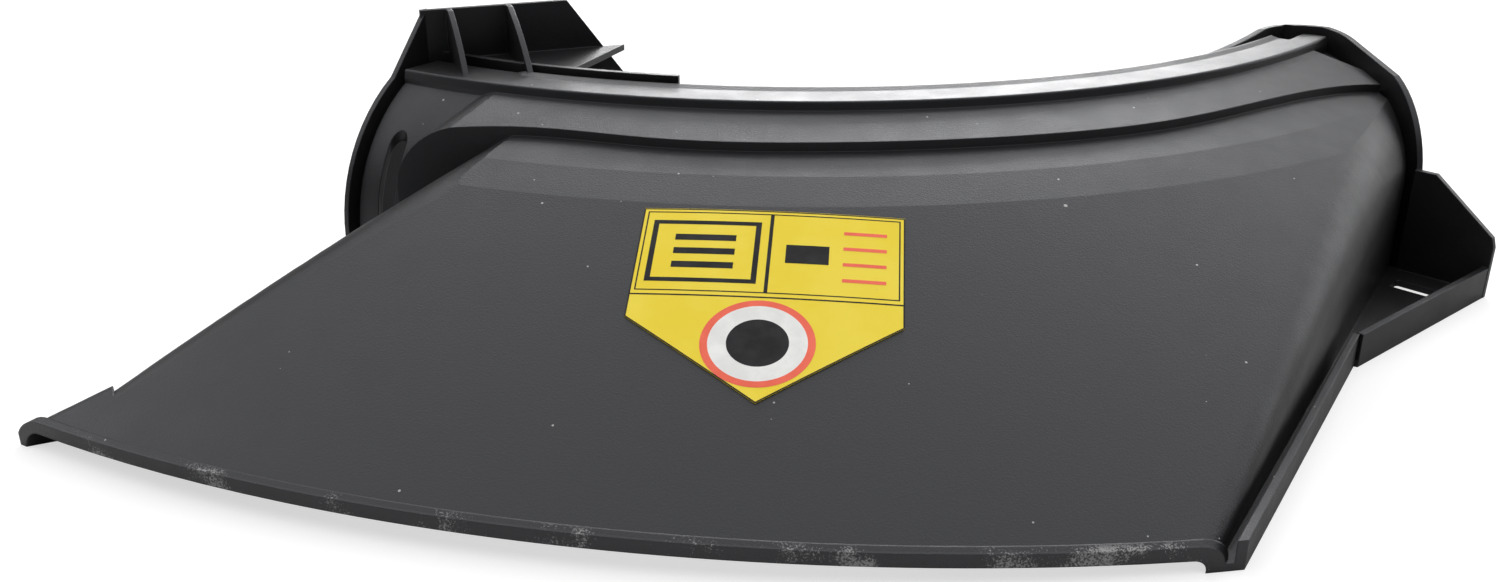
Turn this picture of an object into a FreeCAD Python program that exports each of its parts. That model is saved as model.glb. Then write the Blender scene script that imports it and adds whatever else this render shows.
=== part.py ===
"""Side-discharge deflector of a lawn mower deck: a moulded chute with a stuck-on decal.

All sizes are in millimetres. The chute is built about the axis of the round mower deck: a radius
is measured from that axis, and an angle is the turn about it, 0 towards the mouth (-Y) and
positive towards +X. At the end everything moves so that the origin is under the middle of the part.
"""
import FreeCAD
import Part

import math
import os
from FreeCAD import Vector

# The moulding
WALL = 2.5
RIM_RISE = 3.0
GROOVE_WIDTH = 3.0
GROOVE_DEPTH = 4.0

# The stepped flange, by radius and height
REAR_RADIUS = 270.5
TERRACE_HEIGHT = 83.3
TERRACE_RADIUS = 294.0
RISER_DROP = 3.4
RISER_DRAFT = 0.6
MIDDLE_RADIUS = 317.0
MIDDLE_FALL = 5.1
SHOULDER_RADIUS = 334.0
SHOULDER_SLOPE = math.radians(12.5)
BLEND_SLOPE = math.radians(18.0)
CORNER_RADIUS = 21.0
EDGE_ROUND = 0.8

# The sloping panel
PANEL_SLOPE = math.radians(23.0)
PANEL_RADIUS = 474.5
PANEL_HEIGHT = 9.6

# The sloped left end, a quarter-round ring
BRIM_CENTRE_RADIUS = 258.5
BRIM_CENTRE_HEIGHT = 22.0
BRIM_RADIUS = 66.5
BRIM_START_RADIUS = 286.0

# Plan corners, measured from the deck axis
LEFT_END_ANGLE = -23.5
RIGHT_END_REAR = (264.7, -132.0)
RIGHT_CORNER = (290.0, -205.3)
RIGHT_MOUTH = (195.5, -444.3)
LEFT_MOUTH = (-162.4, -441.1)
LEFT_BACK = (-89.9, -326.4)
FLARE_START = (-151.7, -424.2)
FLARE_TIP = (-178.0, -443.0)
SIDE_GUTTER = 6.0

# Rounding of the hood's top edges, at the mouth and at the back
LEFT_ROUND_MOUTH = 14.0
LEFT_ROUND_BACK = 34.0
RIGHT_ROUND_MOUTH = 9.0
RIGHT_ROUND_BACK = 36.0
FLARE_ROUND = 8.0

# The mouth
MOUTH_CENTRE = (8.1, 61.2)
MOUTH_RADIUS = 535.2
BEAD_WIDTH = 2.5
BEAD_RISE = 1.5

# The middle terrace's ends, where its edge swings outwards
FIN_LEFT_ANGLE = -17.5
FIN_LEFT_RADIUS = 331.0
FIN_LEFT_ROUND = 24.0
FIN_RIGHT_RADIUS = 333.0
FIN_SWING = 8.0

# The arched end rims
LEFT_RIM_RADIUS = BRIM_RADIUS + RIM_RISE
RIGHT_RIM_STRAIGHT = 50.0
RIGHT_RIM_FALL = 9.5

# The mounting ear over the left end
EAR_START = (-110.2, -257.0)
EAR_END = (-38.5, -212.5)
EAR_TOP = 103.7
EAR_BOTTOM = 68.0
EAR_SHOULDER = 24.0
EAR_END_HEIGHT = 70.5
EAR_RIB_PLACES = (11.5, 35.7)
EAR_RIB_LENGTHS = (31.0, 38.0)
EAR_RIB_FLAT = 5.0
RIB_WALL = 2.2
GUSSET_TOP_RADIUS = 275.0
GUSSET_FOOT_RADIUS = 296.7

# The ear pocket at the right foot
POCKET_TIP = (316.3, -224.2)
POCKET_FRONT = (253.4, -301.4)
POCKET_BACK_HEIGHT = 45.0
POCKET_TIP_HEIGHT = 25.0
LIP_HEIGHT_BACK = 12.7
LIP_HEIGHT_MOUTH = 9.4

# Slots
SLOT_LENGTH = 16.0
SLOT_WIDTH = 8.5
BRIM_SLOT = (318.0, -20.0)
TERRACE_SLOT = (279.8, 59.9)
POCKET_SLOT = (288.3, -227.1)

# The decal
DECAL_ANGLE = 8.31
DECAL_TOP_RADIUS = 352.6
DECAL_WIDTH = 86.8
DECAL_SIDE = 49.4
DECAL_POINT = 33.0
DECAL_THICKNESS = 0.3
DECAL_CLEARANCE = 0.05

# Reach of the cutting blocks, past every face that they cut
FAR = 700.0
DEEP = -60.0
HIGH = 160.0
INNER_RADIUS = 240.0
OUTER_RADIUS = 505.0
SWEEP_START = -60.0
SWEEP_END = 80.0
TOUCH = 0.01
LEAST_ROUND = 1.0
BLEND_OVERRUN = 3.0
FLARE_OVERRUN = 1.6
FLARE_DEPTH = 30.0
FIN_OVERRUN = 4.0
FIN_GROWTH = 4.0
FIN_CROWN_RISE = 0.02
ARC_ANGLES = (0.0, 12.0, 24.0, 36.0)
BRIM_MIDDLE_TURN = math.radians(35.0)
RIM_OVERRUN = 1.0
RIGHT_RIM_MIDDLE = (69.0, 62.0)
RIGHT_RIM_SIDE_HEIGHT = 40.0
JAMB_ANGLE = 1.5
GUTTER_OVERRUN = 30.0
POCKET_CHAMFER = 4.0
POCKET_LEVEL = 6.0
EAR_WEB_REAR = 200.0
GUSSET_FLAT = 2.0
SLOT_CORNER = 1.2
BRIM_SLOT_LENGTH = 16.0
BASE_CUT = 6.0
DECAL_MARGIN = 8.0
DECAL_TURN = -2.15


def at(radius, angle, height=0.0):
    """Point at a radius and an angle about the deck axis."""
    turn = math.radians(angle)
    return Vector(radius * math.sin(turn), -radius * math.cos(turn), height)


def flat(point, height=0.0):
    """A plan corner as a point in space."""
    return Vector(point[0], point[1], height)


def polygon_face(points):
    return Part.Face(Part.makePolygon(list(points) + [points[0]]))


def ring(profile, start=SWEEP_START, end=SWEEP_END):
    """Turn a closed (radius, height) profile about the deck axis."""
    face = polygon_face([Vector(r, 0, z) for r, z in profile])
    face.rotate(Vector(0, 0, 0), Vector(0, 0, 1), start - 90.0)
    return face.revolve(Vector(0, 0, 0), Vector(0, 0, 1), end - start)


def prism(points, low=DEEP, high=HIGH):
    """Upright block on plan corners."""
    face = polygon_face([Vector(p[0], p[1], low) for p in points])
    return face.extrude(Vector(0, 0, high - low))


def heading(start, end):
    run = Vector(end[0] - start[0], end[1] - start[1], 0)
    return run.normalize()


def left_of(direction):
    return Vector(-direction.y, direction.x, 0)


def side_block(start, end, inset):
    """All that lies on the left of the line from start to end, at least the inset away."""
    along = heading(start, end)
    across = left_of(along)
    foot = flat(start) + across * inset
    return prism([foot - along * FAR, foot + along * FAR,
                  foot + along * FAR + across * FAR, foot - along * FAR + across * FAR])


def corner_centre(radius, line_start, line_end):
    """Centre of the rear right corner's round, inside the end line and outside the rear arc."""
    along = heading(line_start, line_end)
    inward = -left_of(along)
    foot = flat(line_start) + inward * radius
    reach = REAR_RADIUS + radius
    middle = foot.dot(along)
    offset = foot - along * middle
    back = math.sqrt(reach ** 2 - offset.Length ** 2)
    return offset + along * back


def flange_space(inset):
    """Plan region between the left end, the rear arc and the rounded right end."""
    centre = corner_centre(CORNER_RADIUS, RIGHT_END_REAR, RIGHT_CORNER)
    along = heading(RIGHT_END_REAR, RIGHT_CORNER)
    outward = left_of(along)
    rear = REAR_RADIUS + inset
    round_radius = CORNER_RADIUS - inset
    rear_touch = centre * (rear / centre.Length)
    end_touch = centre + outward * round_radius
    half_way = (rear_touch - centre + outward * round_radius).normalize()
    end_normal = at(1, LEFT_END_ANGLE + 90.0)
    left_rear = at(rear, LEFT_END_ANGLE) + end_normal * inset
    left_rear = left_rear * (rear / left_rear.Length)
    rear_middle = (left_rear + rear_touch).normalize() * rear
    left_far = at(FAR, LEFT_END_ANGLE) + end_normal * inset
    right_far = end_touch + along * FAR
    edges = [
        Part.Arc(left_rear, rear_middle, rear_touch).toShape(),
        Part.Arc(rear_touch, centre + half_way * round_radius, end_touch).toShape(),
        Part.makeLine(end_touch, right_far),
        Part.makeLine(right_far, left_far),
        Part.makeLine(left_far, left_rear),
    ]
    face = Part.Face(Part.Wire(edges))
    face.translate(Vector(0, 0, DEEP))
    return face.extrude(Vector(0, 0, HIGH - DEEP))


def panel_height(radius):
    return PANEL_HEIGHT + (PANEL_RADIUS - radius) * math.tan(PANEL_SLOPE)


def middle_height(radius):
    start = TERRACE_HEIGHT - RISER_DROP
    run = MIDDLE_RADIUS - TERRACE_RADIUS - RISER_DRAFT
    return start - (radius - TERRACE_RADIUS - RISER_DRAFT) * MIDDLE_FALL / run


def top_edges_along(block, start, end, inset, lift):
    """Edges of the block on the cone of the panel that follow a side wall."""
    along = heading(start, end)
    across = left_of(along)
    foot = flat(start) + across * inset
    found = []
    for edge in block.Edges:
        near = True
        for point in edge.discretize(5):
            away = abs((Vector(point.x, point.y, 0) - foot).dot(across))
            rise = point.z - panel_height(math.hypot(point.x, point.y)) - lift
            near = near and away < TOUCH and abs(rise) < TOUCH
        if near:
            found.append(edge)
    return found


def radius_at(place, mouth, back, mouth_radius, back_radius):
    """Rounding of a side edge at a place along it, in proportion between mouth and back."""
    run = flat(back) - flat(mouth)
    share = (Vector(place.x, place.y, 0) - flat(mouth)).dot(run) / run.Length ** 2
    return mouth_radius + (back_radius - mouth_radius) * share


def round_side(block, start, end, inset, offset, mouth_radius, back_radius):
    """Round a top side edge with a radius that grows from the mouth to the back."""
    mouth, back = (start, end) if start[1] < end[1] else (end, start)
    lift = offset / math.cos(PANEL_SLOPE)
    for edge in top_edges_along(block, start, end, inset, lift):
        ends = [edge.valueAt(edge.FirstParameter), edge.valueAt(edge.LastParameter)]
        radii = [radius_at(p, mouth, back, mouth_radius, back_radius) + offset for p in ends]
        radii = [max(radius, LEAST_ROUND) for radius in radii]
        block = block.makeFillet(radii[0], radii[1], [edge])
    return block


def panel_cone(offset):
    """Solid under the panel's cone, raised square to its slope by the offset."""
    lift = offset / math.cos(PANEL_SLOPE)
    return ring([(INNER_RADIUS, DEEP), (INNER_RADIUS, panel_height(INNER_RADIUS) + lift),
                 (OUTER_RADIUS, panel_height(OUTER_RADIUS) + lift), (OUTER_RADIUS, DEEP)])


def shoulder_cap(offset):
    """Solid under the shoulder, whose slope turns into the panel's in two steps."""
    foot = middle_height(MIDDLE_RADIUS) - RISER_DROP
    edge = foot - (SHOULDER_RADIUS - MIDDLE_RADIUS) * math.tan(SHOULDER_SLOPE)
    back = foot + (MIDDLE_RADIUS - INNER_RADIUS) * math.tan(SHOULDER_SLOPE)
    blend_run = (panel_height(SHOULDER_RADIUS) - edge) / (math.tan(PANEL_SLOPE) - math.tan(BLEND_SLOPE))
    end_radius = SHOULDER_RADIUS + blend_run + BLEND_OVERRUN
    end = edge - (end_radius - SHOULDER_RADIUS) * math.tan(BLEND_SLOPE)
    return ring([(INNER_RADIUS, DEEP), (INNER_RADIUS, back + offset), (SHOULDER_RADIUS, edge + offset),
                 (end_radius, end + offset), (OUTER_RADIUS, end + offset), (OUTER_RADIUS, DEEP)])


def hood(offset):
    """The hood under the shoulder and the panel, with its rounded side walls."""
    block = panel_cone(offset)
    block = block.common(side_block(LEFT_BACK, LEFT_MOUTH, -offset))
    block = block.common(side_block(RIGHT_MOUTH, RIGHT_CORNER, SIDE_GUTTER - offset))
    block = round_side(block, LEFT_BACK, LEFT_MOUTH, -offset, offset, LEFT_ROUND_MOUTH, LEFT_ROUND_BACK)
    block = round_side(block, RIGHT_MOUTH, RIGHT_CORNER, SIDE_GUTTER - offset, offset,
                       RIGHT_ROUND_MOUTH, RIGHT_ROUND_BACK)
    return block.common(shoulder_cap(offset))


def flare(offset):
    """The left side wall's turn outwards at the mouth."""
    block = panel_cone(offset)
    block = block.common(side_block(FLARE_START, FLARE_TIP, -offset))
    block = round_side(block, FLARE_START, FLARE_TIP, -offset, offset, FLARE_ROUND, FLARE_ROUND)
    tip, start = flat(FLARE_TIP), flat(FLARE_START)
    out = (tip - start) * FLARE_OVERRUN
    back = left_of(heading(FLARE_START, FLARE_TIP)) * FLARE_DEPTH
    return block.common(prism([start, start + out, start + out + back, start + back * 1.0]))


def rounded_step(radius, top, foot):
    """Profile points of a riser: a rounded top edge, then the drafted face."""
    return [(radius - EDGE_ROUND, top), (radius - EDGE_ROUND * 0.3, top - EDGE_ROUND * 0.3),
            (radius, top - EDGE_ROUND), (radius + RISER_DRAFT, foot)]


def top_terrace(offset):
    height = TERRACE_HEIGHT + offset
    radius = TERRACE_RADIUS + offset
    foot = TERRACE_HEIGHT - RISER_DROP + offset
    profile = [(INNER_RADIUS, DEEP), (INNER_RADIUS, height)]
    profile += rounded_step(radius, height, foot)
    return ring(profile + [(radius + RISER_DRAFT, DEEP)])


def middle_outline(offset):
    """Plan edge of the middle terrace: an arc that swings outwards at both ends."""
    radius = MIDDLE_RADIUS + offset
    left = FIN_LEFT_ANGLE
    right = math.degrees(math.atan2(RIGHT_CORNER[0], -RIGHT_CORNER[1])) + FIN_OVERRUN
    left_edge = [at(FIN_LEFT_RADIUS + offset + FIN_GROWTH, left - FIN_OVERRUN),
                 at(FIN_LEFT_RADIUS + offset, left),
                 at(MIDDLE_RADIUS + offset + (FIN_LEFT_RADIUS - MIDDLE_RADIUS) * 0.3, left + FIN_SWING * 0.6),
                 at(radius, left + FIN_SWING)]
    arc = [at(radius, a) for a in ARC_ANGLES]
    right_edge = [at(radius, right - FIN_SWING),
                  at(MIDDLE_RADIUS + offset + (FIN_RIGHT_RADIUS - MIDDLE_RADIUS) * 0.4, right - FIN_SWING * 0.4),
                  at(FIN_RIGHT_RADIUS + offset, right)]
    curve = Part.BSplineCurve()
    curve.interpolate(left_edge + arc + right_edge)
    return curve.toShape()


def middle_terrace(offset):
    """Solid under the middle terrace, falling softly onto the brim at its left end."""
    outer = middle_outline(offset)
    first = outer.Vertexes[0].Point
    last = outer.Vertexes[-1].Point
    centre = Vector(0, 0, 0)
    face = Part.Face(Part.Wire([outer, Part.makeLine(last, centre), Part.makeLine(centre, first)]))
    face.translate(Vector(0, 0, DEEP))
    plan = face.extrude(Vector(0, 0, HIGH - DEEP))
    top = ring([(INNER_RADIUS, DEEP), (INNER_RADIUS, middle_height(INNER_RADIUS) + offset),
                (OUTER_RADIUS, middle_height(OUTER_RADIUS) + offset), (OUTER_RADIUS, DEEP)])
    return plan.common(top).common(fin_round(offset))


def fin_round(offset):
    """Block that falls down the middle terrace's slope, with its left top edge rounded."""
    radius = FIN_LEFT_ROUND + offset
    fall = MIDDLE_FALL / (MIDDLE_RADIUS - TERRACE_RADIUS - RISER_DRAFT)
    across = at(1, FIN_LEFT_ANGLE + 90.0)
    foot = Vector(0, 0, middle_height(0.0) + offset) - across * offset
    down = Vector(0, 0, -1)
    wall_top = foot + down * radius
    crown = foot + across * radius
    turn = foot + (across + down) * (radius * (1 - math.sqrt(0.5)))
    far = crown + across * FAR + Vector(0, 0, FAR * FIN_CROWN_RISE)
    low_far = far + down * FAR
    low = wall_top + down * FAR
    face = Part.Face(Part.Wire([Part.Arc(wall_top, turn, crown).toShape(), Part.makeLine(crown, far),
                                Part.makeLine(far, low_far), Part.makeLine(low_far, low),
                                Part.makeLine(low, wall_top)]))
    return face.extrude((at(1, FIN_LEFT_ANGLE) + down * fall) * OUTER_RADIUS)


def brim(offset):
    """Solid under the quarter-round ring of the sloped left end."""
    radius = BRIM_RADIUS + offset
    reach = BRIM_START_RADIUS - BRIM_CENTRE_RADIUS
    start = Vector(BRIM_START_RADIUS, 0, BRIM_CENTRE_HEIGHT + math.sqrt(radius ** 2 - reach ** 2))
    middle = Vector(BRIM_CENTRE_RADIUS + radius * math.cos(BRIM_MIDDLE_TURN), 0,
                    BRIM_CENTRE_HEIGHT + radius * math.sin(BRIM_MIDDLE_TURN))
    end = Vector(BRIM_CENTRE_RADIUS + radius, 0, BRIM_CENTRE_HEIGHT)
    low_end = Vector(end.x, 0, DEEP)
    low_start = Vector(start.x, 0, DEEP)
    face = Part.Face(Part.Wire([Part.Arc(start, middle, end).toShape(), Part.makeLine(end, low_end),
                                Part.makeLine(low_end, low_start), Part.makeLine(low_start, start)]))
    face.rotate(Vector(0, 0, 0), Vector(0, 0, 1), SWEEP_START - 90.0)
    return face.revolve(Vector(0, 0, 0), Vector(0, 0, 1), -SWEEP_START)


def form(offset):
    """Everything under the moulding's top surface, grown or shrunk by the offset."""
    parts = [top_terrace(offset), middle_terrace(offset), brim(offset), hood(offset), flare(offset)]
    body = parts[0]
    for piece in parts[1:]:
        body = body.fuse(piece)
    return body


def upright(start, end, outline, thickness):
    """Upright plate on the line from start to end, thickened to its left."""
    along = heading(start, end)
    foot = flat(start)
    face = polygon_face([foot + along * run + Vector(0, 0, height) for run, height in outline])
    return face.extrude(left_of(along) * thickness)


def end_length():
    return (flat(RIGHT_CORNER) - flat(RIGHT_END_REAR)).Length


def left_rim_envelope(height):
    """Solid under the top edge of the left end's arched rim."""
    radius = LEFT_RIM_RADIUS
    start_radius = BRIM_CENTRE_RADIUS + math.sqrt(radius ** 2 - (height - BRIM_CENTRE_HEIGHT) ** 2)
    outer = BRIM_CENTRE_RADIUS + radius
    middle = Vector(BRIM_CENTRE_RADIUS + radius * math.cos(BRIM_MIDDLE_TURN), 0,
                    BRIM_CENTRE_HEIGHT + radius * math.sin(BRIM_MIDDLE_TURN))
    top, side = Vector(start_radius, 0, height), Vector(outer, 0, BRIM_CENTRE_HEIGHT)
    corners = [side, Vector(outer, 0, DEEP), Vector(INNER_RADIUS, 0, DEEP), Vector(INNER_RADIUS, 0, height), top]
    edges = [Part.Arc(top, middle, side).toShape()]
    edges += [Part.makeLine(corners[i], corners[i + 1]) for i in range(len(corners) - 1)]
    face = Part.Face(Part.Wire(edges))
    face.rotate(Vector(0, 0, 0), Vector(0, 0, 1), SWEEP_START - 90.0)
    return face.revolve(Vector(0, 0, 0), Vector(0, 0, 1), -SWEEP_START)


def right_rim_envelope(height):
    """Solid under the top edge of the right end's arched rim, from its rear corner to its foot."""
    along = heading(RIGHT_END_REAR, RIGHT_CORNER)
    origin = flat(RIGHT_END_REAR) + left_of(along) * RIM_OVERRUN
    length = end_length() + RIM_OVERRUN * 0.0
    shoulder = Vector(RIGHT_RIM_STRAIGHT, height - RIGHT_RIM_FALL, 0)
    spots = {"rear": (-FAR, height), "start": (0.0, height), "shoulder": (shoulder.x, shoulder.y),
             "middle": (RIGHT_RIM_MIDDLE[0], RIGHT_RIM_MIDDLE[1]), "side": (length, RIGHT_RIM_SIDE_HEIGHT),
             "foot": (length, DEEP), "low": (-FAR, DEEP)}
    place = {name: origin + along * s + Vector(0, 0, z) for name, (s, z) in spots.items()}
    edges = [Part.makeLine(place["rear"], place["start"]), Part.makeLine(place["start"], place["shoulder"]),
             Part.Arc(place["shoulder"], place["middle"], place["side"]).toShape(),
             Part.makeLine(place["side"], place["foot"]), Part.makeLine(place["foot"], place["low"]),
             Part.makeLine(place["low"], place["rear"])]
    block = Part.Face(Part.Wire(edges)).extrude(left_of(along) * -FAR)
    return block.common(ring([(INNER_RADIUS, DEEP), (INNER_RADIUS, HIGH), (FAR, HIGH), (FAR, DEEP)], 0.0))


def rims():
    """The upstanding rim along the rear and both arched ends, with the end walls under it."""
    height = TERRACE_HEIGHT + RIM_RISE
    band = flange_space(0.0).cut(flange_space(WALL))
    left = band.common(left_rim_envelope(height))
    right = band.common(right_rim_envelope(height))
    return left.fuse(right)


def rear_opening():
    """The mouth of the chute towards the deck, between the two end walls."""
    centre = corner_centre(CORNER_RADIUS, RIGHT_END_REAR, RIGHT_CORNER)
    right = math.degrees(math.atan2(centre.x, -centre.y)) - JAMB_ANGLE
    top = TERRACE_HEIGHT - GROOVE_DEPTH - WALL
    radius = REAR_RADIUS + WALL + GROOVE_WIDTH + WALL
    return ring([(INNER_RADIUS, DEEP), (INNER_RADIUS, top), (radius, top), (radius, DEEP)],
                LEFT_END_ANGLE + JAMB_ANGLE, right)


def shell():
    """The thin-walled chute with its grooved rim, before the ears and slots."""
    edge = WALL + GROOVE_WIDTH
    outer = form(0.0).common(flange_space(edge))
    outer = outer.fuse(form(-GROOVE_DEPTH).common(flange_space(WALL * 0.5)))
    outer = outer.fuse(rims())
    inner = form(-WALL).common(flange_space(edge + WALL))
    inner = inner.fuse(form(-GROOVE_DEPTH - WALL).common(flange_space(WALL)))
    body = outer.cut(inner).cut(rear_opening())
    bead_ring = mouth_cylinder(0.0).cut(mouth_cylinder(BEAD_WIDTH))
    bead = hood(BEAD_RISE).fuse(flare(BEAD_RISE)).common(bead_ring).cut(inner)
    return body.fuse(bead)


def mouth_cylinder(inset):
    place = flat(MOUTH_CENTRE, DEEP)
    return Part.makeCylinder(MOUTH_RADIUS - inset, HIGH - DEEP, place)


def gutter():
    """Floor and outer lip at the foot of the right side wall."""
    along = heading(RIGHT_MOUTH, RIGHT_CORNER)
    across = left_of(along)
    reach = across * (SIDE_GUTTER + WALL)
    start = flat(RIGHT_MOUTH) - along * GUTTER_OVERRUN
    end = flat(RIGHT_CORNER)
    floor = prism([start, end, end + reach, start + reach], 0.0, WALL)
    run = (flat(POCKET_FRONT) - start).dot(along)
    slope = (LIP_HEIGHT_BACK - LIP_HEIGHT_MOUTH) / (run - GUTTER_OVERRUN)
    low = LIP_HEIGHT_MOUTH - slope * GUTTER_OVERRUN
    lip = upright(start, end, [(0.0, 0.0), (0.0, low), (run, LIP_HEIGHT_BACK), (run, 0.0)], WALL)
    return floor.fuse(lip)


def pocket():
    """The triangular ear at the right foot: floor, tall back wall and low front lip."""
    along = heading(RIGHT_MOUTH, RIGHT_CORNER)
    reach = left_of(along) * (SIDE_GUTTER + WALL)
    corner, front, tip = flat(RIGHT_CORNER), flat(POCKET_FRONT), flat(POCKET_TIP)
    floor = prism([front, tip, corner, corner + reach, front + reach], 0.0, WALL)
    length = (tip - corner).Length
    back = upright(POCKET_TIP, RIGHT_CORNER, [(0.0, 0.0), (0.0, POCKET_TIP_HEIGHT - POCKET_CHAMFER),
                                              (POCKET_CHAMFER * 0.3, POCKET_TIP_HEIGHT),
                                              (length - POCKET_LEVEL, POCKET_BACK_HEIGHT),
                                              (length + WALL, POCKET_BACK_HEIGHT), (length + WALL, 0.0)], WALL)
    lip_length = (tip - front).Length
    lip = upright(POCKET_FRONT, POCKET_TIP, [(0.0, 0.0), (0.0, LIP_HEIGHT_BACK),
                                             (lip_length, LIP_HEIGHT_BACK), (lip_length, 0.0)], WALL)
    return floor.fuse(back).fuse(lip)


def ear_rib(place, length):
    """Gusset from the ear plate down to the top terrace."""
    along = heading(EAR_START, EAR_END)
    forward = -left_of(along)
    foot = flat(EAR_START) + along * place
    low = TERRACE_HEIGHT - WALL
    outline = {"root": (-WALL, low), "top": (-WALL, EAR_TOP), "shoulder": (EAR_RIB_FLAT, EAR_TOP),
               "middle": (EAR_RIB_FLAT + (length - EAR_RIB_FLAT) * 0.45, TERRACE_HEIGHT + (EAR_TOP - TERRACE_HEIGHT) * 0.66),
               "toe": (length, TERRACE_HEIGHT), "heel": (length, low)}
    spot = {name: foot + forward * run + Vector(0, 0, height) for name, (run, height) in outline.items()}
    edges = [Part.makeLine(spot["root"], spot["top"]), Part.makeLine(spot["top"], spot["shoulder"]),
             Part.Arc(spot["shoulder"], spot["middle"], spot["toe"]).toShape(),
             Part.makeLine(spot["toe"], spot["heel"]), Part.makeLine(spot["heel"], spot["root"])]
    face = Part.Face(Part.Wire(edges))
    face.translate(along * (-RIB_WALL / 2))
    return face.extrude(along * RIB_WALL)


def ear():
    """The mounting ear: an upright plate behind the rear rim, its web, ribs and end gusset."""
    length = (flat(EAR_END) - flat(EAR_START)).Length
    plate = upright(EAR_START, EAR_END, [(0.0, EAR_BOTTOM), (0.0, EAR_TOP), (length - EAR_SHOULDER, EAR_TOP),
                                         (length, EAR_END_HEIGHT), (length, EAR_BOTTOM)], WALL)
    end_angle = math.degrees(math.atan2(EAR_END[0], -EAR_END[1]))
    web = ring([(EAR_WEB_REAR, TERRACE_HEIGHT - WALL), (EAR_WEB_REAR, TERRACE_HEIGHT),
                (REAR_RADIUS + WALL * 0.5, TERRACE_HEIGHT), (REAR_RADIUS + WALL * 0.5, TERRACE_HEIGHT - WALL)],
               LEFT_END_ANGLE, end_angle)
    web = web.common(side_block(EAR_END, EAR_START, 0.0))
    start, end = at(0.0, LEFT_END_ANGLE), at(1.0, LEFT_END_ANGLE)
    rim = LEFT_RIM_RADIUS ** 2 - (GUSSET_FOOT_RADIUS - BRIM_CENTRE_RADIUS) ** 2
    foot_height = BRIM_CENTRE_HEIGHT + math.sqrt(rim)
    gusset = upright((start.x, start.y), (end.x, end.y),
                     [(GUSSET_TOP_RADIUS, EAR_BOTTOM), (GUSSET_TOP_RADIUS, EAR_TOP),
                      (GUSSET_TOP_RADIUS + GUSSET_FLAT, EAR_TOP), (GUSSET_FOOT_RADIUS, foot_height),
                      (GUSSET_FOOT_RADIUS, EAR_BOTTOM)], WALL)
    body = plate.fuse(web).fuse(gusset)
    for place, rib_length in zip(EAR_RIB_PLACES, EAR_RIB_LENGTHS):
        body = body.fuse(ear_rib(place, rib_length))
    return body


def slot_tool(centre, along, length, width, end_radius):
    """Upright cutter with rounded ends or corners."""
    across = left_of(along)
    half, side = length / 2, width / 2
    block = prism([centre - along * half - across * side, centre + along * half - across * side,
                   centre + along * half + across * side, centre - along * half + across * side])
    upright_edges = [e for e in block.Edges if abs(e.Vertexes[0].Z - e.Vertexes[-1].Z) > 1.0]
    return block.makeFillet(end_radius, upright_edges)


def slots():
    """The three fixing slots, all cut straight down."""
    oval = slot_tool(at(*BRIM_SLOT), at(1.0, BRIM_SLOT[1]), BRIM_SLOT_LENGTH, SLOT_WIDTH, SLOT_WIDTH * 0.49)
    upper = slot_tool(at(*TERRACE_SLOT), at(1.0, TERRACE_SLOT[1] + 90.0), SLOT_LENGTH, SLOT_WIDTH, SLOT_CORNER)
    lower = slot_tool(flat(POCKET_SLOT), heading(RIGHT_CORNER, POCKET_TIP), SLOT_LENGTH, SLOT_WIDTH, SLOT_CORNER)
    low = prism([(-FAR, -FAR), (FAR, -FAR), (FAR, FAR), (-FAR, FAR)], DEEP, BASE_CUT)
    return oval.fuse(upper).fuse(lower.common(low))


def deflector():
    body = shell().fuse(gutter()).fuse(pocket())
    body = body.common(mouth_cylinder(0.0))
    body = body.fuse(ear()).cut(slots())
    above = prism([(-FAR, -FAR), (FAR, -FAR), (FAR, FAR), (-FAR, FAR)], 0.0)
    body = body.common(above).removeSplitter()
    return body


def decal_place(across, down):
    """Plan place of a point of the flat decal once it lies on the cone of the panel."""
    top = DECAL_TOP_RADIUS / math.cos(PANEL_SLOPE)
    start = math.radians(DECAL_ANGLE) * math.cos(PANEL_SLOPE)
    turn = start + math.radians(DECAL_TURN)
    x = top * math.sin(start) + across * math.cos(turn) + down * math.sin(turn)
    y = top * math.cos(start) - across * math.sin(turn) + down * math.cos(turn)
    angle = math.degrees(math.atan2(x, y)) / math.cos(PANEL_SLOPE)
    return at(math.hypot(x, y) * math.cos(PANEL_SLOPE), angle, DEEP)


def decal_edge(start, end):
    """Edge of the decal: straight while flat, slightly curved once laid on the cone."""
    steps = 4
    points = [decal_place(start[0] + (end[0] - start[0]) * i / steps,
                          start[1] + (end[1] - start[1]) * i / steps) for i in range(steps + 1)]
    curve = Part.BSplineCurve()
    curve.interpolate(points)
    return curve.toShape()


def decal():
    """Five-sided decal, one skin thick, lying on the panel."""
    half = DECAL_WIDTH / 2
    corners = [(-half, 0.0), (half, 0.0), (half, DECAL_SIDE), (0.0, DECAL_SIDE + DECAL_POINT), (-half, DECAL_SIDE)]
    edges = [decal_edge(corners[i], corners[(i + 1) % len(corners)]) for i in range(len(corners))]
    plan = Part.Face(Part.Wire(edges)).extrude(Vector(0, 0, HIGH - DEEP))
    inner, outer = DECAL_TOP_RADIUS - DECAL_MARGIN, PANEL_RADIUS
    low = DECAL_CLEARANCE / math.cos(PANEL_SLOPE)
    high = low + DECAL_THICKNESS / math.cos(PANEL_SLOPE)
    skin = ring([(inner, panel_height(inner) + low), (inner, panel_height(inner) + high),
                 (outer, panel_height(outer) + high), (outer, panel_height(outer) + low)])
    return skin.common(plan)


if __name__ == "__main__":
    os.makedirs("parts", exist_ok=True)
    moulding = deflector().Solids[0]
    box = moulding.optimalBoundingBox()
    origin = Vector((box.XMin + box.XMax) / 2, (box.YMin + box.YMax) / 2, box.ZMin)
    for name, shape in (("deflector", moulding), ("decal", decal().Solids[0])):
        shape.translate(-origin)
        print(name, shape.isValid(), len(shape.Solids), round(shape.Volume, 1), len(shape.Faces))
        shape.exportStep("parts/%s.step" % name)
    print(box, origin)
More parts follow.
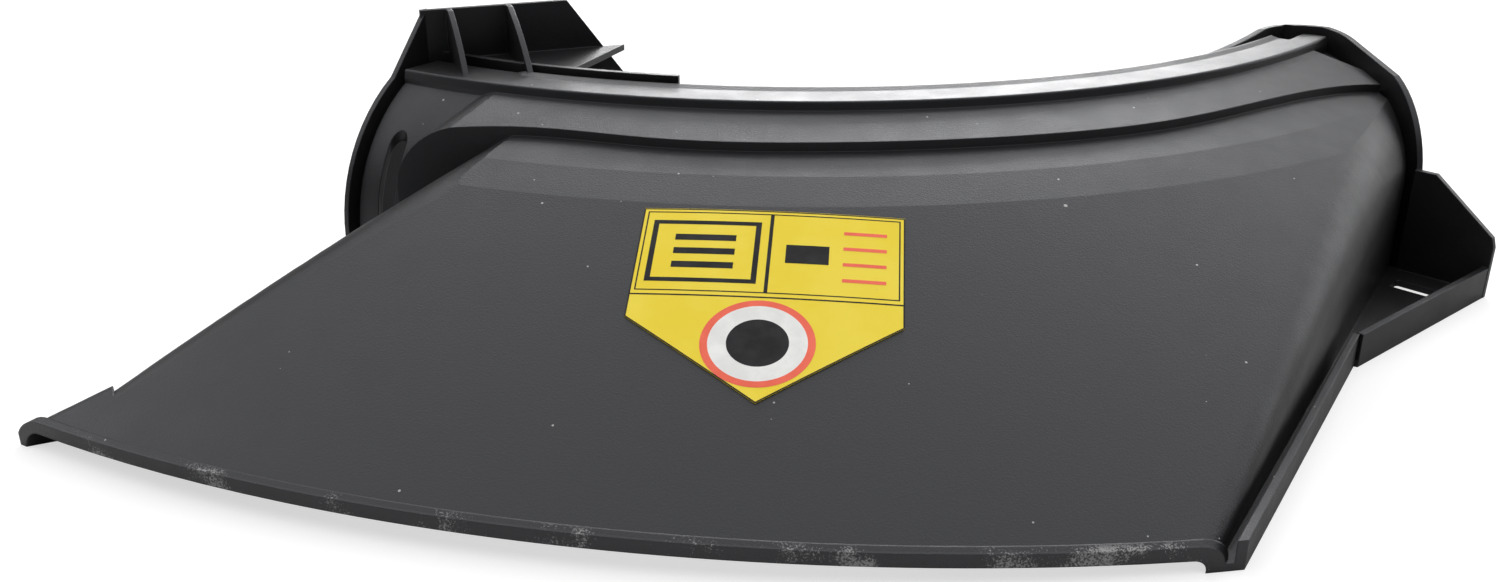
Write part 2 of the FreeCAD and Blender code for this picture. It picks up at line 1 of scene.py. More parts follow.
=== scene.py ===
"""Studio scene of a lawn mower's side-discharge deflector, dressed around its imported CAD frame.

The moulding keeps its CAD solid and gets a grained, dusty black plastic. The decal gets a satin
vinyl and a printed layer of plain shapes. Everything is in metres, in the row frame.
"""

import enum
import logging
import math
from dataclasses import dataclass, field
from typing import Callable, Iterable, Sequence

import bpy
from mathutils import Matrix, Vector


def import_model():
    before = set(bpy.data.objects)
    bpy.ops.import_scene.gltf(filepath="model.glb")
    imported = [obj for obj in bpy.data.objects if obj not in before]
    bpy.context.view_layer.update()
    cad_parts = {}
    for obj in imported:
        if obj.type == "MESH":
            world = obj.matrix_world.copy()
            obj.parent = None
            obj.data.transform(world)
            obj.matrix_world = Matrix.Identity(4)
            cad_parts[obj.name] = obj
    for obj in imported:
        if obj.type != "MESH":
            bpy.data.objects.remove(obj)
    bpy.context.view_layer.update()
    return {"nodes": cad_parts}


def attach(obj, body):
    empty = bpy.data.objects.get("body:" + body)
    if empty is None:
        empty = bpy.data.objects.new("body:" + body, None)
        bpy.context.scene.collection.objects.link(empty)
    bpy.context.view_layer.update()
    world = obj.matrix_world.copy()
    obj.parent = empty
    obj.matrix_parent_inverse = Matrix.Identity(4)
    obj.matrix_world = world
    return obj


LOG = logging.getLogger("deflector_scene")
MILLIMETRE = 0.001
ROOT = "root"
DECK_AXIS = (-70.257, 302.157)
MOUTH_OFFSET = (8.1, 61.2)
MOUTH_RADIUS = 535.2
PRINCIPLED = "Principled BSDF"
SPECULAR = "Specular IOR Level"

Colour = tuple[float, float, float, float]
Point2 = tuple[float, float]
Socket = bpy.types.NodeSocket


def grey(level: float) -> Colour:
    """Opaque grey of one linear level."""
    return (level, level, level, 1.0)


class Slot(enum.Enum):
    """Material slots named in the record."""

    PLASTIC = "black_plastic"
    DECAL = "decal_print"


class Ink(enum.Enum):
    """Inks of the decal's printed layer, as linear colours."""

    BLACK = (0.012, 0.012, 0.014, 1.0)
    CORAL = (0.93, 0.16, 0.10, 1.0)
    WHITE = (0.86, 0.86, 0.84, 1.0)


class Graph:
    """A node tree with short calls that add and join its nodes."""

    def __init__(self, tree: bpy.types.NodeTree) -> None:
        """Wrap a node tree.

        Args:
            tree: the tree that the nodes go into.
        """
        self.tree = tree

    def add(self, kind: str, **settings: object) -> bpy.types.Node:
        """Add a node.

        Args:
            kind: the node's type, without the leading "ShaderNode".
            settings: properties set on the node.

        Returns:
            The new node.
        """
        node = self.tree.nodes.new("ShaderNode" + kind if not kind.startswith("Node") else kind)
        for name, value in settings.items():
            setattr(node, name, value)
        return node

    def feed(self, target: Socket, source: object) -> None:
        """Join a socket to another one, or set its plain value.

        Args:
            target: the input socket.
            source: an output socket, or a value.
        """
        if isinstance(source, bpy.types.NodeSocket):
            self.tree.links.new(source, target)
        else:
            target.default_value = source

    def math(self, operation: str, first: object, second: object = 0.0, third: object = 0.0,
             clamp: bool = False) -> Socket:
        """Add a Math node.

        Args:
            operation: the node's operation.
            first: its first input.
            second: its second input.
            third: its third input.
            clamp: whether the result stays between 0 and 1.

        Returns:
            The result's socket.
        """
        node = self.add("Math", operation=operation, use_clamp=clamp)
        for socket, source in zip(node.inputs, (first, second, third)):
            self.feed(socket, source)
        return node.outputs[0]

    def ramp(self, value: Socket, low: object, high: object, start: float = 0.0, end: float = 1.0) -> Socket:
        """Fade smoothly from one level to another.

        Args:
            value: the socket that drives the fade.
            low: the value where the fade starts.
            high: the value where it ends.
            start: the level at low.
            end: the level at high.

        Returns:
            The faded level's socket.
        """
        node = self.add("MapRange", interpolation_type="SMOOTHSTEP")
        for name, source in (("Value", value), ("From Min", low), ("From Max", high),
                             ("To Min", start), ("To Max", end)):
            self.feed(node.inputs[name], source)
        return node.outputs["Result"]

    def noise(self, coordinates: Socket, scale: float, detail: float = 2.0, roughness: float = 0.5) -> Socket:
        """Add a noise texture.

        Args:
            coordinates: where the noise is read.
            scale: its waves per metre.
            detail: how many finer layers it has.
            roughness: how strong the finer layers are.

        Returns:
            The noise's level.
        """
        node = self.add("TexNoise")
        for name, source in (("Vector", coordinates), ("Scale", scale), ("Detail", detail),
                             ("Roughness", roughness)):
            self.feed(node.inputs[name], source)
        return node.outputs[0]

    def mix(self, share: object, first: object, second: object) -> Socket:
        """Mix two colours.

        Args:
            share: how much of the second colour shows.
            first: the first colour.
            second: the second colour.

        Returns:
            The mixed colour's socket.
        """
        node = self.add("Mix", data_type="RGBA")
        self.feed(node.inputs[0], share)
        self.feed(node.inputs[6], first)
        self.feed(node.inputs[7], second)
        return node.outputs[2]


@dataclass(frozen=True)
class Effect:
    """A shader node group with one plain purpose, built once and placed in many materials."""

    name: str
    inputs: dict[str, float]
    outputs: tuple[str, ...]
    build: Callable[[Graph, dict[str, Socket]], dict[str, Socket]]

    def tree(self) -> bpy.types.NodeTree:
        """Give the group's node tree, and build it the first time.

        Returns:
            The node tree.
        """
        found = bpy.data.node_groups.get(self.name)
        if found:
            return found
        tree = bpy.data.node_groups.new(self.name, "ShaderNodeTree")
        tree.interface.new_socket("Place", in_out="INPUT", socket_type="NodeSocketVector")
        for label, value in self.inputs.items():
            socket = tree.interface.new_socket(label, in_out="INPUT", socket_type="NodeSocketFloat")
            socket.default_value = value
        for label in self.outputs:
            tree.interface.new_socket(label, in_out="OUTPUT", socket_type="NodeSocketFloat")
        graph = Graph(tree)
        entry = graph.add("NodeGroupInput")
        leave = graph.add("NodeGroupOutput")
        results = self.build(graph, {socket.name: socket for socket in entry.outputs if socket.name})
        for label, source in results.items():
            graph.feed(leave.inputs[label], source)
        return tree

    def place(self, graph: Graph, place: Socket, **values: float) -> dict[str, Socket]:
        """Put the group in a material.

        Args:
            graph: the material's graph.
            place: coordinates that the effect reads.
            values: inputs that differ from the group's own, by name with _ for a space.

        Returns:
            The group's outputs by name.
        """
        node = graph.add("Group")
        node.node_tree = self.tree()
        graph.feed(node.inputs["Place"], place)
        for label, value in values.items():
            graph.feed(node.inputs[label.replace("_", " ")], value)
        return {label: node.outputs[label] for label in self.outputs}


def build_grain(graph: Graph, entry: dict[str, Socket]) -> dict[str, Socket]:
    """Fine spark-eroded grain and a slow mottle of the sheen.

    Args:
        graph: the group's graph.
        entry: its inputs.

    Returns:
        Its outputs.
    """
    fine = graph.noise(entry["Place"], entry["Fine Scale"], detail=3.0, roughness=0.65)
    slow = graph.noise(entry["Place"], entry["Mottle Scale"], detail=4.0, roughness=0.6)
    return {"Height": fine, "Mottle": slow}


def build_specks(graph: Graph, entry: dict[str, Socket]) -> dict[str, Socket]:
    """Scattered specks of dust, each in a random cell and of a random size.

    Args:
        graph: the group's graph.
        entry: its inputs.

    Returns:
        Its outputs.
    """
    cells = graph.add("TexVoronoi", feature="F1")
    graph.feed(cells.inputs["Vector"], entry["Place"])
    graph.feed(cells.inputs["Scale"], entry["Cells"])
    split = graph.add("SeparateColor")
    graph.feed(split.inputs[0], cells.outputs["Color"])
    size = graph.math("MULTIPLY", split.outputs[1], entry["Speck Size"])
    inside = graph.math("LESS_THAN", cells.outputs["Distance"], size)
    chosen = graph.math("LESS_THAN", split.outputs[0], entry["Share"])
    return {"Mask": graph.math("MULTIPLY", inside, chosen)}


def build_scuffs(graph: Graph, entry: dict[str, Socket]) -> dict[str, Socket]:
    """Pale rubs in broad patches, broken up by fine noise.

    Args:
        graph: the group's graph.
        entry: its inputs.

    Returns:
        Its outputs.
    """
    broad = graph.noise(entry["Place"], entry["Patch Scale"], detail=2.0)
    fine = graph.noise(entry["Place"], entry["Scratch Scale"], detail=5.0, roughness=0.75)
    both = graph.math("ADD", graph.math("MULTIPLY", broad, BROAD_SHARE), graph.math("MULTIPLY", fine, FINE_SHARE))
    limit = entry["Limit"]
    return {"Mask": graph.ramp(both, limit, graph.math("ADD", limit, SCUFF_EDGE))}


BROAD_SHARE = 0.55
FINE_SHARE = 0.45
SCUFF_EDGE = 0.06
GRAIN = Effect("moulded_grain", {"Fine Scale": 1500.0, "Mottle Scale": 60.0}, ("Height", "Mottle"), build_grain)
SPECKS = Effect("dust_specks", {"Cells": 160.0, "Speck Size": 0.08, "Share": 0.2}, ("Mask",), build_specks)
SCUFFS = Effect("pale_scuffs", {"Patch Scale": 55.0, "Scratch Scale": 1500.0, "Limit": 0.55}, ("Mask",),
                build_scuffs)


@dataclass(frozen=True)
class MouthArc:
    """The mouth's arc in plan, which the scuffs follow."""

    centre: Point2
    radius: float


@dataclass(frozen=True)
class ChutePlastic:
    """Black polypropylene with a fine grain, a rounded glint on its edges, dust, a scuffed mouth, and painted bounce
    light on the mouth's front face.
    """

    mouth: MouthArc
    name: str = Slot.PLASTIC.value
    colour: Colour = (0.0095, 0.0095, 0.0108, 1.0)
    # Lighter grey of the mouth's front face: partly rubbed wear, partly painted bounce light from the floor.
    rubbed_and_bounce_lit_colour: Colour = (0.075, 0.075, 0.078, 1.0)
    worn_colour: Colour = (0.36, 0.36, 0.36, 1.0)
    dust_colour: Colour = (0.42, 0.42, 0.41, 1.0)
    sheen: Colour = (0.92, 0.935, 1.0, 1.0)
    roughness: float = 0.40
    edge_round: float = 0.0007
    grain_depth: float = 0.0002
    grain_strength: float = 0.6
    mottle_share: float = 0.35
    mottle_colour: Colour = grey(0.02)
    mottle_range: Point2 = (0.3, 0.7)
    roughness_swing: float = 0.035
    dull_gain: float = 0.3
    # How much of the rubbed wear and painted bounce light shows on the mouth's front face.
    rub_and_bounce_lit_share: float = 0.8
    face_start: float = -0.0004
    face_depth: float = 0.0009
    scuff_start: float = 0.00036
    scuff_limit: float = 0.53
    scuff_reach: float = 0.0030
    level_range: Point2 = (0.2, 0.7)
    bevel_samples: int = 6

    def build(self) -> bpy.types.Material:
        """Make the material.

        Returns:
            The finished material.
        """
        material = new_material(self.name)
        graph = Graph(material.node_tree)
        shader = material.node_tree.nodes[PRINCIPLED]
        shader.inputs["Specular Tint"].default_value = self.sheen
        place = graph.add("TexCoord").outputs["Object"]
        grain = GRAIN.place(graph, place)
        dust = SPECKS.place(graph, place)["Mask"]
        fluff = SPECKS.place(graph, place, Cells=55.0, Speck_Size=0.045, Share=0.25)["Mask"]
        # Mask of the mouth's front face, which gets rubbed wear and painted bounce light.
        rubbed_and_bounce_lit_front = self.mouth_mask(graph, place, self.face_start, self.face_depth)
        edge = self.mouth_mask(graph, place, self.scuff_start, self.scuff_reach)
        scuffs = SCUFFS.place(graph, place, Limit=self.scuff_limit)["Mask"]
        worn = graph.math("MULTIPLY", scuffs, edge)
        dusty = graph.math("MULTIPLY", graph.math("MAXIMUM", dust, fluff), self.facing_up(graph), clamp=True)
        tint = graph.mix(graph.math("MULTIPLY", grain["Mottle"], self.mottle_share), self.colour,
                         self.mottle_colour)
        # Lighten the mouth's front face: partly rubbed wear, partly painted bounce light.
        tint = graph.mix(graph.math("MULTIPLY", rubbed_and_bounce_lit_front, self.rub_and_bounce_lit_share), tint, self.rubbed_and_bounce_lit_colour)
        colour = graph.mix(worn, tint, self.worn_colour)
        graph.feed(shader.inputs["Base Color"], graph.mix(dusty, colour, self.dust_colour))
        rough = graph.ramp(grain["Mottle"], *self.mottle_range, self.roughness - self.roughness_swing,
                           self.roughness + self.roughness_swing)
        rough = graph.math("ADD", rough, graph.math("MULTIPLY", graph.math("MAXIMUM", worn, dusty),
                                                      self.dull_gain))
        graph.feed(shader.inputs["Roughness"], rough)
        rounded = graph.add("Bevel", samples=self.bevel_samples)
        rounded.inputs["Radius"].default_value = self.edge_round
        bump = graph.add("Bump")
        bump.inputs["Strength"].default_value = self.grain_strength
        bump.inputs["Distance"].default_value = self.grain_depth
        graph.feed(bump.inputs["Height"], grain["Height"])
        graph.feed(bump.inputs["Normal"], rounded.outputs[0])
        graph.feed(shader.inputs["Normal"], bump.outputs[0])
        return material

    def mouth_mask(self, graph: Graph, place: Socket, start: float, reach: float) -> Socket:
        """Mask that is 1 on the mouth's own edge and falls off behind it.

        Args:
            graph: the material's graph.
            place: object coordinates.
            start: how far behind the mouth's arc it starts to fall.
            reach: how far behind the arc it ends.

        Returns:
            The mask's socket.
        """
        offset = graph.add("VectorMath", operation="SUBTRACT")
        graph.feed(offset.inputs[0], place)
        graph.feed(offset.inputs[1], (*self.mouth.centre, 0.0))
        flat = graph.add("VectorMath", operation="MULTIPLY")
        graph.feed(flat.inputs[0], offset.outputs[0])
        graph.feed(flat.inputs[1], (1.0, 1.0, 0.0))
        length = graph.add("VectorMath", operation="LENGTH")
        graph.feed(length.inputs[0], flat.outputs[0])
        behind = graph.math("SUBTRACT", self.mouth.radius, length.outputs["Value"])
        return graph.ramp(behind, start, reach, 1.0, 0.0)

    def facing_up(self, graph: Graph) -> Socket:
        """Mask of the surfaces on which dust can settle.

        Args:
            graph: the material's graph.

        Returns:
            The mask's socket.
        """
        split = graph.add("SeparateXYZ")
        graph.feed(split.inputs[0], graph.add("NewGeometry").outputs["Normal"])
        return graph.ramp(split.outputs[2], *self.level_range)


@dataclass(frozen=True)
class DecalVinyl:
    """Satin yellow vinyl, slightly uneven, with a little dust in its surface."""

    name: str = Slot.DECAL.value
    colour: Colour = (0.94, 0.72, 0.045, 1.0)
    pale: Colour = (0.97, 0.77, 0.075, 1.0)
    dust_colour: Colour = grey(0.3)
    dust_share: float = 0.5
    mottle_edges: Point2 = (0.35, 0.65)
    mottle_range: Point2 = (0.3, 0.7)
    roughness: float = 0.38
    roughness_swing: float = 0.05
    specular: float = 0.15
    grain_strength: float = 0.12
    grain_depth: float = 0.00008

    def build(self) -> bpy.types.Material:
        """Make the material.

        Returns:
            The finished material.
        """
        material = new_material(self.name)
        graph = Graph(material.node_tree)
        shader = material.node_tree.nodes[PRINCIPLED]
        place = graph.add("TexCoord").outputs["Object"]
        grain = GRAIN.place(graph, place, Fine_Scale=900.0, Mottle_Scale=35.0)
        dust = SPECKS.place(graph, place, Cells=220.0, Speck_Size=0.07, Share=0.08)["Mask"]
        colour = graph.mix(graph.ramp(grain["Mottle"], *self.mottle_edges), self.colour, self.pale)
        colour = graph.mix(graph.math("MULTIPLY", dust, self.dust_share), colour, self.dust_colour)
        graph.feed(shader.inputs["Base Color"], colour)
        graph.feed(shader.inputs["Roughness"],
                   graph.ramp(grain["Mottle"], *self.mottle_range, self.roughness - self.roughness_swing,
                              self.roughness + self.roughness_swing))
        shader.inputs[SPECULAR].default_value = self.specular
        bump = graph.add("Bump")
        bump.inputs["Strength"].default_value = self.grain_strength
        bump.inputs["Distance"].default_value = self.grain_depth
        graph.feed(bump.inputs["Height"], grain["Height"])
        graph.feed(shader.inputs["Normal"], bump.outputs[0])
        return material


@dataclass(frozen=True)
class PrintInk:
    """One ink of the decal, rubbed thin in places."""

    ink: Ink
    pale_gain: float = 1.12
    pale_lift: float = 0.012
    mottle_edges: Point2 = (0.35, 0.7)
    roughness: float = 0.42
    specular: float = 0.12
    grain_strength: float = 0.1
    grain_depth: float = 0.00005

    def build(self) -> bpy.types.Material:
        """Make the material.

        Returns:
            The finished material.
        """
        material = new_material("ink_" + self.ink.name.lower())
        graph = Graph(material.node_tree)
        shader = material.node_tree.nodes[PRINCIPLED]
        place = graph.add("TexCoord").outputs["Object"]
        grain = GRAIN.place(graph, place, Fine_Scale=700.0, Mottle_Scale=120.0)
        paler = tuple(min(1.0, level * self.pale_gain + self.pale_lift) for level in self.ink.value[:3]) + (1.0,)
        graph.feed(shader.inputs["Base Color"],
                   graph.mix(graph.ramp(grain["Mottle"], *self.mottle_edges), self.ink.value, paler))
        shader.inputs["Roughness"].default_value = self.roughness
        shader.inputs[SPECULAR].default_value = self.specular
        bump = graph.add("Bump")
        bump.inputs["Strength"].default_value = self.grain_strength
        bump.inputs["Distance"].default_value = self.grain_depth
        graph.feed(bump.inputs["Height"], grain["Height"])
        graph.feed(shader.inputs["Normal"], bump.outputs[0])
        return material


def new_material(name: str) -> bpy.types.Material:
    """Make an empty material with a Principled shader.

    Args:
        name: the material's name.

    Returns:
        The material.
    """
    material = bpy.data.materials.new(name)
    material.use_nodes = True
    return material


def add_mesh(name: str, points: Sequence[Vector], faces: Sequence[Sequence[int]],
             material: bpy.types.Material) -> bpy.types.Object:
    """Make a mesh object with smooth faces.

    Args:
        name: the object's name.
        points: its vertices.
        faces: its faces, as lists of vertex numbers.
        material: its material.

    Returns:
        The object, linked to the scene.
    """
    mesh = bpy.data.meshes.new(name)
    mesh.from_pydata([tuple(point) for point in points], [], [list(face) for face in faces])
    mesh.materials.append(material)
    mesh.polygons.foreach_set("use_smooth", [True] * len(mesh.polygons))
    mesh.update()
    piece = bpy.data.objects.new(name, mesh)
    bpy.context.scene.collection.objects.link(piece)
    return piece


@dataclass
class DecalSheet:
    """Where the decal lies: a flat layout, in millimetres, rolled onto the cone of the panel."""

    axis: Point2
    panel_radius: float = 474.5
    panel_height: float = 9.6
    slope: float = math.radians(23.0)
    angle: float = math.radians(8.31)
    top_radius: float = 352.6
    turn: float = math.radians(-2.15)
    width: float = 86.8
    side: float = 49.4
    point: float = 33.0
    surface: float = 0.35

    def place(self, across: float, down: float, lift: float) -> Vector:
        """Give the place of a point of the flat layout.

        Args:
            across: its distance right of the decal's middle.
            down: its distance below the decal's top edge.
            lift: its height square to the panel.

        Returns:
            The point in the row frame.
        """
        top = self.top_radius / math.cos(self.slope)
        start = self.angle * math.cos(self.slope)
        turn = start + self.turn
        x = top * math.sin(start) + across * math.cos(turn) + down * math.sin(turn)
        y = top * math.cos(start) - across * math.sin(turn) + down * math.cos(turn)
        angle = math.atan2(x, y) / math.cos(self.slope)
        radius = math.hypot(x, y) * math.cos(self.slope)
        height = self.panel_height + (self.panel_radius - radius) * math.tan(self.slope)
        radius += lift * math.sin(self.slope)
        height += lift * math.cos(self.slope)
        return Vector((self.axis[0] + radius * math.sin(angle), self.axis[1] - radius * math.cos(angle),
                       height)) * MILLIMETRE


@dataclass
class DecalPrint:
    """The printed layer: fine frames, a divider, plain bars and a plain ring round a disc."""

    sheet: DecalSheet
    line: float = 0.45
    middle_line: float = 1.2
    cross_line_gain: float = 1.3
    block_line_gain: float = 4.0
    block: tuple[Point2, ...] = ((-38.5, 6.5), (-4.5, 6.5), (-4.5, 33.0), (-38.5, 33.0))
    block_bars: tuple[float, ...] = (13.5, 19.8, 26.1)
    block_bar_ends: Point2 = (-31.5, -11.5)
    block_bar_width: float = 2.8
    plain_block: tuple[Point2, ...] = ((5.0, 19.8), (19.0, 19.8))
    plain_block_width: float = 8.4
    coral_bars: tuple[float, ...] = (9.0, 16.2, 23.4, 30.6)
    coral_bar_ends: Point2 = (23.5, 37.5)
    coral_bar_width: float = 1.5
    margin: float = 1.7
    middle: float = -0.3
    foot: float = 37.7
    divider: float = 39.7
    ring_centre: Point2 = (-1.1, 58.8)
    ring_radius: float = 17.7
    ring_band: float = 2.4
    disc_radius: float = 9.6
    disc_level: float = 1.6
    spokes: int = 96
    pinhole: float = 0.02
    step: float = 1.5
    film: float = 0.04
    inks: dict[Ink, bpy.types.Material] = field(default_factory=dict)

    def build(self) -> list[bpy.types.Object]:
        """Print every shape of the decal.

        Returns:
            The printed pieces.
        """
        self.inks = {ink: PrintInk(ink).build() for ink in Ink}
        half, low, tip = self.sheet.width / 2, self.sheet.side, self.sheet.side + self.sheet.point
        rim = self.line / 2
        outline = [(-half + rim, rim), (half - rim, rim), (half - rim, low - rim / 2), (0.0, tip - rim * 1.3),
                   (-half + rim, low - rim / 2)]
        inner = half - self.margin
        panel = [(-inner, self.margin), (inner, self.margin), (inner, self.foot), (-inner, self.foot)]
        pieces = [self.loop("outline", outline, self.line), self.loop("upper_frame", panel, self.line)]
        pieces.append(self.band("middle_divider", [(self.middle, self.margin), (self.middle, self.foot)],
                                self.middle_line))
        pieces.append(self.band("cross_divider", [(-half, self.divider), (half, self.divider)],
                                self.line * self.cross_line_gain))
        pieces += self.left_field() + self.right_field() + self.ring()
        return pieces

    def left_field(self) -> list[bpy.types.Object]:
        """Print a plain framed block of bars in the left field.

        Returns:
            The printed pieces.
        """
        pieces = [self.loop("block_frame", self.block, self.line * self.block_line_gain)]
        return pieces + self.bars("block_bar", self.block_bars, self.block_bar_ends, self.block_bar_width, Ink.BLACK)

    def right_field(self) -> list[bpy.types.Object]:
        """Print a plain dark block and coral bars in the right field.

        Returns:
            The printed pieces.
        """
        pieces = [self.band("plain_block", self.plain_block, self.plain_block_width)]
        return pieces + self.bars("coral_bar", self.coral_bars, self.coral_bar_ends, self.coral_bar_width, Ink.CORAL)

    def bars(self, name: str, heights: Sequence[float], ends: Point2, width: float,
             ink: Ink) -> list[bpy.types.Object]:
        """Print level bars under each other.

        Args:
            name: the bars' name, which their number follows.
            heights: each bar's distance below the decal's top edge.
            ends: where the bars start and end across the decal.
            width: their width.
            ink: their ink.

        Returns:
            The printed bars.
        """
        return [self.band(f"{name}_{number}", [(ends[0], height), (ends[1], height)], width, ink)
                for number, height in enumerate(heights)]

    def ring(self) -> list[bpy.types.Object]:
        """Print the coral ring, its white field and the plain disc in its middle.

        Returns:
            The printed pieces.
        """
        inner = self.ring_radius - self.ring_band
        return [self.annulus("ring_band", inner, self.ring_radius, Ink.CORAL, 1.0),
                self.annulus("ring_field", 0.0, inner, Ink.WHITE, 1.0),
                self.annulus("ring_disc", 0.0, self.disc_radius, Ink.BLACK, self.disc_level)]

    def spread(self, start: Point2, end: Point2) -> list[Point2]:
        """Give points along a line, close enough to follow the cone.

        Args:
            start: where the line starts.
            end: where it ends.

        Returns:
            The points, both ends included.
        """
        count = max(1, math.ceil(math.dist(start, end) / self.step))
        return [(start[0] + (end[0] - start[0]) * i / count, start[1] + (end[1] - start[1]) * i / count)
                for i in range(count + 1)]

    def grid(self, name: str, rows: Sequence[Sequence[Point2]], ink: Ink, level: float,
             closed: bool = False) -> bpy.types.Object:
        """Print a patch given as rows of points.

        Args:
            name: the piece's name.
            rows: rows of points of the flat layout, all of one length.
            ink: the ink.
            level: how many films of ink lie under its top.
            closed: whether the last point of a row joins the first.

        Returns:
            The printed piece.
        """
        lift = self.sheet.surface + self.film * level
        points = [self.sheet.place(across, down, lift) for row in rows for across, down in row]
        span = len(rows[0])
        faces = []
        for row in range(len(rows) - 1):
            for column in range(span if closed else span - 1):
                beside = (column + 1) % span
                faces.append((row * span + column, row * span + beside,
                              (row + 1) * span + beside, (row + 1) * span + column))
        piece = add_mesh("decal_" + name, points, faces, self.inks[ink])
        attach(piece, ROOT)
        return piece

    def band(self, name: str, ends: Sequence[Point2], width: float, ink: Ink = Ink.BLACK) -> bpy.types.Object:
        """Print a straight band.

        Args:
            name: the piece's name.
            ends: its middle line's two ends.
            width: its width.
            ink: its ink.

        Returns:
            The printed piece.
        """
        (x0, y0), (x1, y1) = ends
        length = math.dist(*ends)
        side = (-(y1 - y0) / length * width / 2, (x1 - x0) / length * width / 2)
        count = max(1, math.ceil(width / self.step))
        rows = []
        for number in range(count + 1):
            share = 2.0 * number / count - 1.0
            offset = (side[0] * share, side[1] * share)
            rows.append([(x + offset[0], y + offset[1]) for x, y in self.spread(*ends)])
        return self.grid(name, rows, ink, 1.0)

    def loop(self, name: str, corners: Sequence[Point2], width: float) -> bpy.types.Object:
        """Print a closed frame with mitred corners.

        Args:
            name: the piece's name.
            corners: its middle line's corners, turning clockwise on the layout.
            width: the line's width.

        Returns:
            The printed piece.
        """
        inner = [self.mitre(corners, number, width / 2) for number in range(len(corners))]
        outer = [self.mitre(corners, number, -width / 2) for number in range(len(corners))]
        rows: list[list[Point2]] = [[], []]
        for row, ring in zip(rows, (outer, inner)):
            for number, corner in enumerate(ring):
                beside = (number + 1) % len(ring)
                count = max(1, math.ceil(math.dist(corners[number], corners[beside]) / self.step))
                end = ring[beside]
                row += [(corner[0] + (end[0] - corner[0]) * i / count,
                         corner[1] + (end[1] - corner[1]) * i / count) for i in range(count)]
        return self.grid(name, rows, Ink.BLACK, 1.0, closed=True)

    @staticmethod
    def mitre(corners: Sequence[Point2], number: int, inset: float) -> Point2:
        """Give a corner moved inwards by the inset, square to both of its sides.

        Args:
            corners: the frame's corners.
            number: which corner.
            inset: how far the sides move inwards.

        Returns:
            The moved corner.
        """
        before, here, after = (Vector(corners[(number + i) % len(corners)]) for i in (-1, 0, 1))
        first, second = (here - before).normalized(), (after - here).normalized()
        normal_one, normal_two = Vector((-first.y, first.x)), Vector((-second.y, second.x))
        middle = (normal_one + normal_two).normalized()
        moved = here + middle * (inset / middle.dot(normal_one))
        return (moved.x, moved.y)

    def annulus(self, name: str, inner: float, outer: float, ink: Ink, level: float) -> bpy.types.Object:
        """Print a ring or, with no inner radius, a disc.

        Args:
            name: the piece's name.
            inner: its inner radius.
            outer: its outer radius.
            ink: its ink.
            level: how many films of ink lie under its top.

        Returns:
            The printed piece.
        """
        start = max(inner, self.pinhole)
        count = max(2, math.ceil((outer - inner) / self.step))
        rows = []
        for number in range(count + 1):
            radius = start + (outer - start) * number / count
            rows.append([(self.ring_centre[0] + radius * math.cos(2 * math.pi * i / self.spokes),
                          self.ring_centre[1] + radius * math.sin(2 * math.pi * i / self.spokes))
                         for i in range(self.spokes)])
        return self.grid(name, rows, ink, level, closed=True)


@dataclass(frozen=True)
class SoftBox:
    """A rectangular studio lamp with an even face."""

    name: str
    place: tuple[float, float, float]
    aim: tuple[float, float, float]
    width: float
    height: float
    radiance: float

    def build(self) -> bpy.types.Object:
        """Hang the lamp.

        Returns:
            The lamp.
        """
        lamp = bpy.data.lights.new(self.name, "AREA")
        lamp.shape = "RECTANGLE"
        lamp.size = self.width
        lamp.size_y = self.height
        lamp.energy = self.radiance * math.pi * self.width * self.height
        holder = bpy.data.objects.new(self.name, lamp)
        holder.location = self.place
        run = Vector(self.aim) - Vector(self.place)
        holder.rotation_euler = run.to_track_quat("-Z", "Y").to_euler()
        bpy.context.scene.collection.objects.link(holder)
        return holder


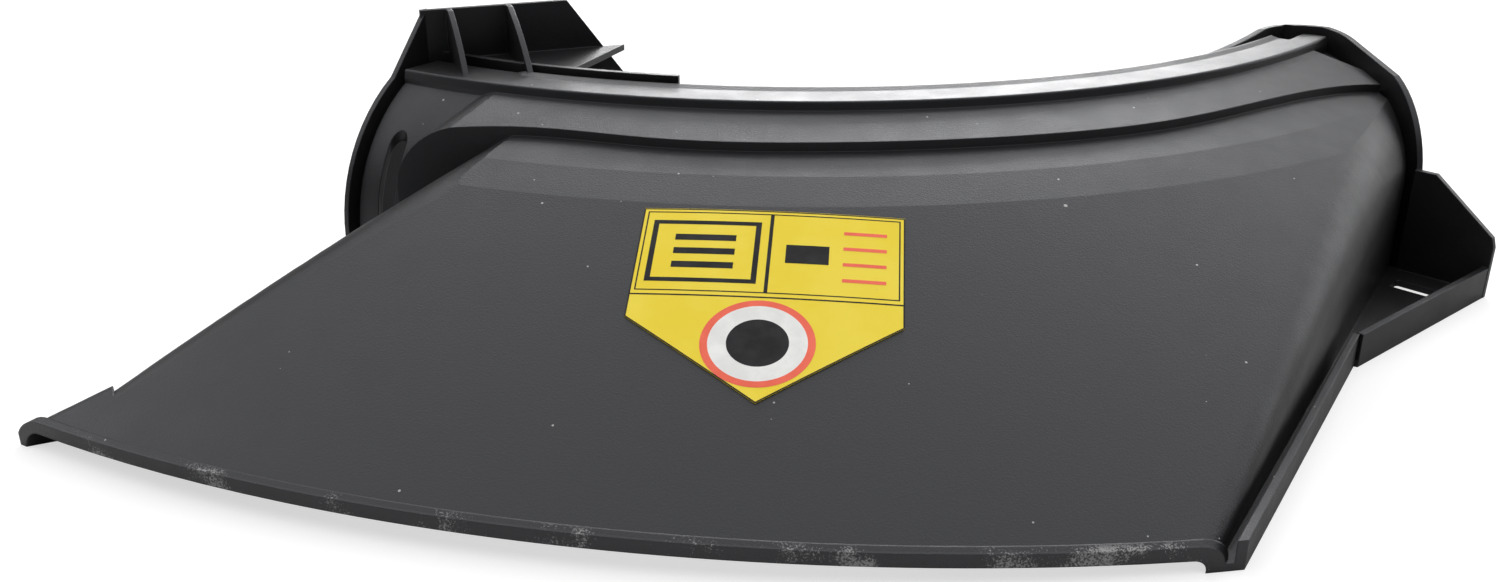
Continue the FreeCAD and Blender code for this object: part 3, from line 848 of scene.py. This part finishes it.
@dataclass(frozen=True)
class Studio:
    """White floor, soft lamps and the camera at the photograph's angle."""

    camera_place: tuple[float, float, float] = (0.05541, -0.47351, 0.21675)
    camera_pitch: float = math.radians(67.0)
    camera_yaw: float = math.radians(11.0)
    lens: float = 33.144
    sensor: float = 36.0
    near_clip: float = 0.01
    floor_size: float = 12.0
    floor_albedo: float = 0.50
    floor_lift: float = 0.62
    ambient: float = 0.10
    lamps: tuple[SoftBox, ...] = (
        SoftBox("top_bank", (0.1, 0.2, 1.6), (0.1, 0.2, 0.0), 4.4, 3.0, 1.15),
        SoftBox("back_high_bank", (-0.1, 1.95, 1.55), (0.0, 0.1, 0.1), 3.2, 0.9, 2.1),
        SoftBox("back_low_bank", (-0.13, 2.6, 0.95), (0.05, 0.1, 0.1), 1.5, 0.9, 9.5),
        SoftBox("left_bank", (-2.0, 0.2, 0.9), (-0.1, 0.0, 0.0), 1.6, 1.0, 1.4),
        SoftBox("right_bank", (1.75, 1.4, 0.68), (0.2, 0.05, 0.05), 1.5, 0.9, 2.2),
    )

    def build(self) -> None:
        """Set up the camera, the lamps, the floor and the view."""
        self.build_camera()
        for lamp in self.lamps:
            lamp.build()
        self.build_world()
        self.build_floor()
        bpy.context.scene.view_settings.view_transform = "Standard"

    def build_camera(self) -> None:
        """Place the camera."""
        camera = bpy.data.cameras.new("camera")
        camera.lens = self.lens
        camera.sensor_width = self.sensor
        camera.clip_start = self.near_clip
        holder = bpy.data.objects.new("camera", camera)
        holder.location = self.camera_place
        holder.rotation_euler = (self.camera_pitch, 0.0, self.camera_yaw)
        bpy.context.scene.collection.objects.link(holder)
        bpy.context.scene.camera = holder

    def build_world(self) -> None:
        """Give the studio a dim even air, and a white background to the camera."""
        world = bpy.data.worlds.new("studio_air")
        world.use_nodes = True
        bpy.context.scene.world = world
        graph = Graph(world.node_tree)
        background = world.node_tree.nodes["Background"]
        seen = graph.add("LightPath").outputs["Is Camera Ray"]
        graph.feed(background.inputs["Color"], graph.mix(seen, grey(self.ambient), grey(1.0)))

    def build_floor(self) -> bpy.types.Object:
        """Lay the floor.

        Returns:
            The floor.
        """
        material = new_material("studio_floor")
        graph = Graph(material.node_tree)
        shader = material.node_tree.nodes[PRINCIPLED]
        shader.inputs["Base Color"].default_value = grey(self.floor_albedo)
        shader.inputs["Roughness"].default_value = 1.0
        shader.inputs[SPECULAR].default_value = 0.0
        shader.inputs["Emission Color"].default_value = grey(1.0)
        rays = graph.add("LightPath")
        seen = graph.math("ADD", rays.outputs["Is Camera Ray"], rays.outputs["Is Transmission Ray"], clamp=True)
        graph.feed(shader.inputs["Emission Strength"], graph.math("MULTIPLY", seen, self.floor_lift))
        half = self.floor_size / 2
        corners = [Vector((-half, -half, 0.0)), Vector((half, -half, 0.0)),
                   Vector((half, half, 0.0)), Vector((-half, half, 0.0))]
        return add_mesh("floor", corners, [(0, 1, 2, 3)], material)


@dataclass
class Moulding:
    """The CAD moulding and decal, given their finishes."""

    nodes: dict[str, bpy.types.Object]
    mouth: MouthArc

    def dress(self) -> None:
        """Give each CAD node its material."""
        for name, material in (("deflector", ChutePlastic(self.mouth).build()), ("decal", DecalVinyl().build())):
            self.nodes[name].data.materials.clear()
            self.nodes[name].data.materials.append(material)
            LOG.info("dressed %s", name)


def main() -> None:
    """Dress the frame, print the decal and light the studio."""
    logging.basicConfig(level=logging.INFO)
    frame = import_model()
    centre = tuple((along + offset) * MILLIMETRE for along, offset in zip(DECK_AXIS, MOUTH_OFFSET))
    mouth = MouthArc(centre, MOUTH_RADIUS * MILLIMETRE)
    Moulding(frame["nodes"], mouth).dress()
    for piece in DecalPrint(DecalSheet(DECK_AXIS)).build():
        LOG.info("printed %s", piece.name)
    Studio().build()


if __name__ == "__main__":
    main()
